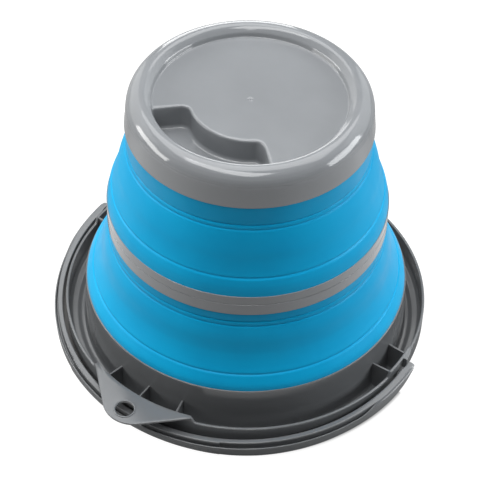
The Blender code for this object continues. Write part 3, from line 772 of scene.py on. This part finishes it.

# %% [markdown]
# ## Joining the pieces to the joints
#
# The new pieces stand for the CAD nodes. The rigid ones ride on their bodies. The soft rings stay where they
# were built, with their points baked into the world, and the CAD nodes they stand for are hidden.

# %% Ride and replace
rigid = ((rim, "rim_collar", "rim", "rim_plastic"), (middle_hoop, "mid_ring", "mid", "grey_plastic"),
         (base, "base_cup", "base", "grey_plastic"), (handle, "bail_handle", "handle", "rim_plastic"))
soft = ((lower_ring, "lower_bellows", ("rim", "mid"), 62.4, 106.8),
        (upper_ring, "upper_bellows", ("mid", "base"), 154.1, 196.8))
for piece, node, body, slot in rigid:
    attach(piece, body)
    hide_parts(node)
for piece, node, bodies, low, high in soft:
    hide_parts(node)
    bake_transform(piece)
print("pieces dressed:", len(rigid) + len(soft))

# %% [markdown]
# ## The floor
#
# The photo has a pure white background, so the matt floor also glows white, but only for camera and
# mirror rays: the lamps stay at a plain level, and the glow lights nothing.
#
# The mesh is one square just under the object's lowest point.

# %% Floor and its paint
FLOOR_HALF, FLOOR_HEIGHT = 6, -0.0004
floor_corners = [(x * FLOOR_HALF, y * FLOOR_HALF, FLOOR_HEIGHT)
                 for x, y in ((-1, -1), (1, -1), (1, 1), (-1, 1))]
floor_mesh = bpy.data.meshes.new("floor")
floor_mesh.from_pydata(floor_corners, [], [(0, 1, 2, 3)])
floor = bpy.data.objects.new("floor", floor_mesh)
bpy.context.scene.collection.objects.link(floor)
floor_paint = bpy.data.materials.new("pale_floor")
floor_paint.use_nodes = True
floor_tree = floor_paint.node_tree
paint = floor_tree.nodes["Principled BSDF"]
paint.inputs["Base Color"].default_value = (0.16, 0.16, 0.16, 1)
paint.inputs["Roughness"].default_value = 0.9
glow = floor_tree.nodes.new("ShaderNodeEmission")
glow.inputs["Color"].default_value = (1, 1, 1, 1)
floor_mesh.materials.append(floor_paint)
print("floor:", floor.name, "painted with", floor_paint.name)

# %% [markdown]
# Behind the pivots the glow starts under the skirt. In front of them it starts only under the lowered
# handle, so that the gap between the handle and the skirt stays dark. Mirror rays see the glow fade out near
# the object and see little of it behind the object. This is painted shade in the floor's reflection, a
# contact shadow that keeps the foot of the cone dark. Each of these shares comes from the same `mapped`
# helper as the finishes use.

# %% Where the floor glows
AWAY_FROM_VIEWER = (-0.559, 0.829, 0)

def combined(tree, kind, operation, *sources):
    """A Math or Vector Math node with each source linked to one of its inputs in turn."""
    node = tree.nodes.new(kind)
    node.operation = operation
    for number, source in enumerate(sources):
        link(tree, source, (node, number))
    return node

floor_place = floor_tree.nodes.new("ShaderNodeTexCoord")
from_axis = combined(floor_tree, "ShaderNodeVectorMath", "DISTANCE", (floor_place, "Object"))
from_axis.inputs[1].default_value = (0, AXIS_Y * MM, 0)
split = floor_tree.nodes.new("ShaderNodeSeparateXYZ")
link(floor_tree, (floor_place, "Object"), (split, 0))
behind = mapped(floor_tree, (split, "Y"), 0.0, 0.02, start=0.010, end=0.018)
reached = combined(floor_tree, "ShaderNodeMath", "ADD", (from_axis, "Value"), (behind, "Result"))
outside = mapped(floor_tree, (reached, "Value"), 0.0, 0.95, start=0.159, end=0.163)
link(floor_tree, (outside, "Result"), (glow, "Strength"))

# Painted shade in the floor's reflection: the glow that mirror rays see fades out near the object, as a
# contact shadow, and dims behind it.
painted_shade_near_object = mapped(floor_tree, (from_axis, "Value"), 0.0, 1.0, start=0.165, end=0.19)
depth = combined(floor_tree, "ShaderNodeVectorMath", "DOT_PRODUCT", (floor_place, "Object"))
depth.inputs[1].default_value = AWAY_FROM_VIEWER
painted_shade_behind_object = mapped(floor_tree, (depth, "Value"), 0.9, 0.2, start=0.09, end=0.2)
mirrored = combined(floor_tree, "ShaderNodeMath", "MULTIPLY", (painted_shade_near_object, "Result"),
                    (painted_shade_behind_object, "Result"))
rays = floor_tree.nodes.new("ShaderNodeLightPath")
gate = combined(floor_tree, "ShaderNodeMath", "MULTIPLY_ADD", (rays, "Is Glossy Ray"), (mirrored, "Value"),
                (rays, "Is Camera Ray"))
glowing_paint = floor_tree.nodes.new("ShaderNodeAddShader")
link(floor_tree, (paint, 0), (glowing_paint, 0))
link(floor_tree, (glow, 0), (glowing_paint, 1))
floor_mix = floor_tree.nodes.new("ShaderNodeMixShader")
for number, node in enumerate((gate, paint, glowing_paint)):
    link(floor_tree, (node, 0), (floor_mix, number))
link(floor_tree, (floor_mix, 0), (floor_tree.nodes["Material Output"], "Surface"))
print("shader nodes of the floor:", len(floor_tree.nodes))

# %% [markdown]
# ## The world
#
# Two backgrounds are mixed by the kind of ray: the camera sees plain white, and everything else gets a
# very weak bluish fill.

# %% World
world = bpy.data.worlds.new("studio")
bpy.context.scene.world = world
world.use_nodes = True
world_tree = world.node_tree
fill = world_tree.nodes["Background"]
fill.inputs["Color"].default_value = (0.95, 0.97, 1.0, 1)
fill.inputs["Strength"].default_value = 0.015
backdrop = world_tree.nodes.new("ShaderNodeBackground")
backdrop.inputs["Color"].default_value = (1, 1, 1, 1)
world_rays = world_tree.nodes.new("ShaderNodeLightPath")
world_mix = world_tree.nodes.new("ShaderNodeMixShader")
link(world_tree, (world_rays, "Is Camera Ray"), (world_mix, 0))
link(world_tree, (fill, 0), (world_mix, 1))
link(world_tree, (backdrop, 0), (world_mix, 2))
link(world_tree, (world_mix, 0), (world_tree.nodes["World Output"], "Surface"))
print("world:", world.name)

# %% [markdown]
# ## The camera
#
# The camera was worked out from the ellipses of the rings in the photo: it stands 1.36 m away, 46
# degrees up and 34 degrees round towards the right pivot, and leans by a little over one degree. Its
# place and target were found as shares of the skirt's radius.

# %% Camera
RADIUS = 155.0
DISTANCE_SHARE = 8.748
TARGET_SHARES = np.array([-0.0363, 0, 0.3748])
FOCAL_PIXELS, PICTURE_PIXELS, SENSOR_WIDTH = 1609.6, 480, 36
elevation, camera_azimuth, roll = np.radians([45.97, 34.0, -1.28])

swung = np.array([[np.cos(camera_azimuth), -np.sin(camera_azimuth), 0],
                  [np.sin(camera_azimuth), np.cos(camera_azimuth), 0], [0, 0, 1]])
back = swung @ (0, -np.cos(elevation), np.sin(elevation))
upwards = swung @ (0, np.sin(elevation), np.cos(elevation))
right = swung @ (1, 0, 0)
right, upwards = np.cos(roll) * right - np.sin(roll) * upwards, np.sin(roll) * right + np.cos(roll) * upwards
target = swung @ (TARGET_SHARES * RADIUS) + (0, AXIS_Y, SKIRT_EDGE)
stand = (target + DISTANCE_SHARE * RADIUS * back) * MM

camera_data = bpy.data.cameras.new("camera")
camera_data.sensor_width = SENSOR_WIDTH
camera_data.lens = FOCAL_PIXELS / PICTURE_PIXELS * SENSOR_WIDTH
camera = bpy.data.objects.new("camera", camera_data)
bpy.context.scene.collection.objects.link(camera)
camera_rows = zip(np.column_stack([right, upwards, back]), stand)
camera.matrix_world = Matrix([[*row, place] for row, place in camera_rows] + [[0, 0, 0, 1]])
bpy.context.scene.camera = camera
print("camera stands at", stand.round(3))

# %% [markdown]
# ## The lamps
#
# Seven softboxes stand round the object as in a white studio tent: a broad ceiling, a strip turned over
# the front left, one at each side, two broad fills behind the sides and a small one low behind. Glossy
# plastic shows its lamps, so their places and sizes were set by the bands of light on the foot ring,
# the hoop and the panel. The left ones are a little warmer and the right ones a little cooler.

# %% Lamps
def softbox(name, place, facing, size, power, tint=(1, 1, 1), spin=0.0):
    """A rectangular area lamp, with its place and the way it faces counted as the camera sees them, in
    metres to the right, away and up from the bucket's axis. Its longer side is level; where it faces
    straight down, spin turns that side by an angle in degrees."""
    data = bpy.data.lights.new(name, "AREA")
    data.shape = "RECTANGLE"
    data.size, data.size_y = size
    data.energy = power
    data.color = tint
    lamp = bpy.data.objects.new(name, data)
    bpy.context.scene.collection.objects.link(lamp)
    away = -Vector(facing).normalized()
    spun = Vector((np.cos(np.radians(spin)), np.sin(np.radians(spin)), 0))
    along = spun if away.z > 0.99 else Vector((-away.y, away.x, 0)).normalized()
    aim = Matrix((along, away.cross(along), away)).transposed().to_4x4()
    seen = Matrix.Translation((0, AXIS_Y * MM, 0)) @ Matrix.Rotation(camera_azimuth, 4, "Z")
    lamp.matrix_world = seen @ Matrix.Translation(place) @ aim

cool, warm = (0.97, 0.99, 1.0), (1.0, 0.99, 0.965)
down, forwards = (0, 0, -1), (0, -1, 0)
softbox("ceiling", (0.0, 0.75, 1.75), down, size=(2.0, 1.5), power=33)
softbox("strip", (-0.28, -0.41, 1.65), down, size=(1.3, 0.6), power=17, spin=-38)
softbox("right", (1.47, -0.1, 0.6), (-1, 0.07, 0), size=(1.0, 0.6), power=16, tint=cool)
softbox("left", (-1.5, -0.02, 0.6), (1, 0, 0), size=(1.1, 0.45), power=14, tint=warm)
softbox("left_fill", (-1.35, 0.95, 1.0), (0.8, -0.6, 0), size=(1.8, 1.7), power=12, tint=warm)
softbox("right_fill", (1.35, 0.95, 1.0), (-0.8, -0.6, 0), size=(1.8, 1.7), power=11, tint=cool)
softbox("back", (-0.15, 1.5, 0.5), forwards, size=(0.7, 0.7), power=7)

# %% [markdown]
# ## The view transform
#
# The render shows its colours through the Standard view transform.

# %% View transform
bpy.context.scene.view_settings.view_transform = "Standard"
